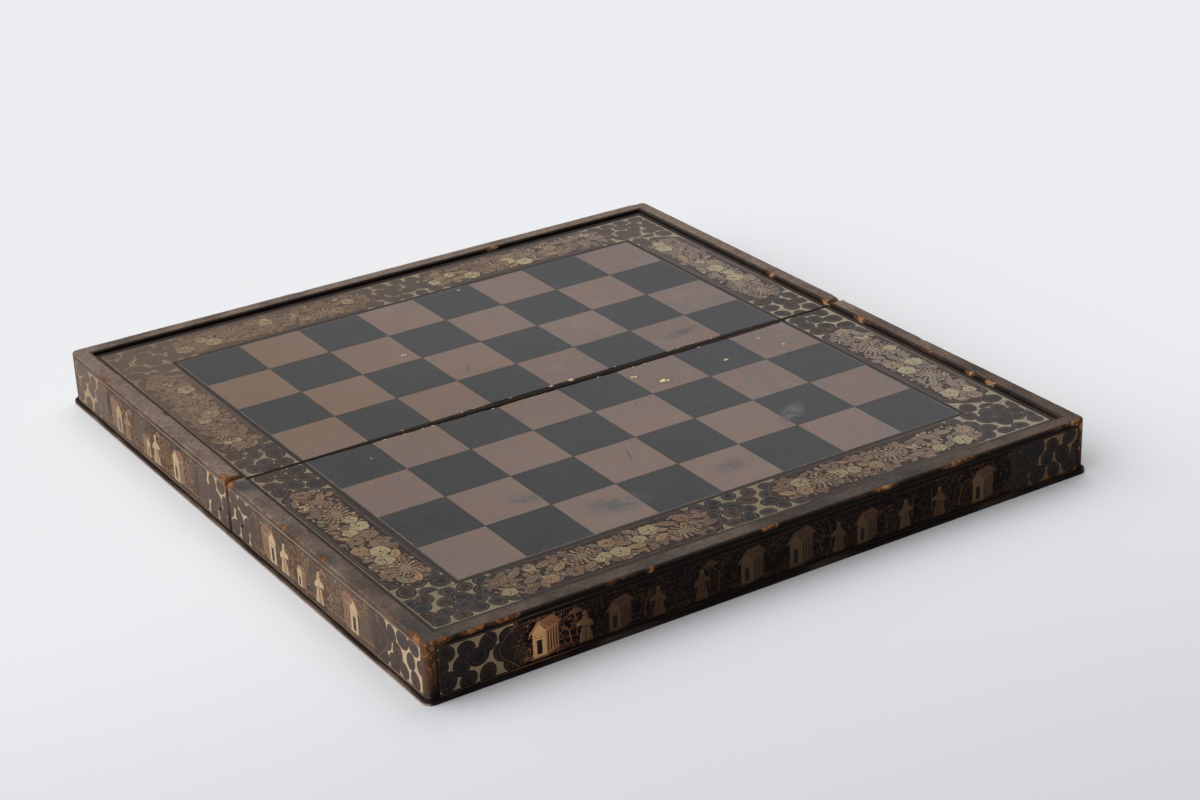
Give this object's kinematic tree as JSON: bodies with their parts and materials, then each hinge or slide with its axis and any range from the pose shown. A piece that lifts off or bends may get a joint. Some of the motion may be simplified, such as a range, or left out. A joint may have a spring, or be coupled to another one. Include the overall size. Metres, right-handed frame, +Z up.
{
  "type": "folding backgammon and chess board",
  "caption": "Flat hinged wooden games box lying open: lipped black lacquer frame, gilt border and chequered field above, backgammon points in the shallow trays below; folds shut.",
  "frame": {"origin": "on the surface that the open board lies on, under the middle of the fold and of the board's length; the lowest points of the hinge knuckles are at z = 0", "axes": "+X along the fold, to the right as seen from the near side; +Y from the near half to the far half, square to the fold; +Z up, out of the chess field"},
  "size_m": [0.4822, 0.5054, 0.0397],
  "materials": {
    "wall_lacquer": "worn satin black-brown lacquer with gilt scenes on the outer face",
    "hinge_wall_lacquer": "worn satin black-brown lacquer",
    "bead_lacquer": "dark satin lacquer",
    "field_lacquer": "satin black-brown lacquer",
    "slate_lacquer": "matt slate grey lacquer, scuffed",
    "taupe_lacquer": "satin brown-pink lacquer, stained and scuffed",
    "gilt_lacquer": "many-toned gilt flowers and leaves on black lacquer",
    "gold_point_lacquer": "gilt on black lacquer",
    "red_point_lacquer": "dull red lacquer with gilt lines",
    "hinge_brass": "aged, tarnished",
    "pin_brass": "aged, tarnished"
  },
  "bodies": {
    "near_half": {"near_panel": "field_lacquer", "near_outer_wall": "wall_lacquer", "near_hinge_wall": "hinge_wall_lacquer", "near_left_wall": "wall_lacquer", "near_right_wall": "wall_lacquer", "near_outer_bead": "bead_lacquer", "near_left_bead": "bead_lacquer", "near_right_bead": "bead_lacquer", "near_dark_squares": "slate_lacquer", "near_light_squares": "taupe_lacquer", "near_gilt_border": "gilt_lacquer", "near_gold_points": "gold_point_lacquer", "near_red_points": "red_point_lacquer", "left_hinge_near_leaf": "hinge_brass", "left_hinge_pin": "pin_brass", "right_hinge_near_leaf": "hinge_brass", "right_hinge_pin": "pin_brass", "near_hinge_screws": "pin_brass"},
    "far_half": {"far_panel": "field_lacquer", "far_outer_wall": "wall_lacquer", "far_hinge_wall": "hinge_wall_lacquer", "far_left_wall": "wall_lacquer", "far_right_wall": "wall_lacquer", "far_outer_bead": "bead_lacquer", "far_left_bead": "bead_lacquer", "far_right_bead": "bead_lacquer", "far_dark_squares": "slate_lacquer", "far_light_squares": "taupe_lacquer", "far_gilt_border": "gilt_lacquer", "far_gold_points": "gold_point_lacquer", "far_red_points": "red_point_lacquer", "left_hinge_far_leaf": "hinge_brass", "right_hinge_far_leaf": "hinge_brass", "far_hinge_screws": "pin_brass"}
  },
  "joints": [
    {"name": "fold", "type": "hinge", "parent": "near_half", "child": "far_half", "pos_m": [0, 0, 0.0015], "axis": [-1, 0, 0], "range_deg": [0, 180]}
  ]
}
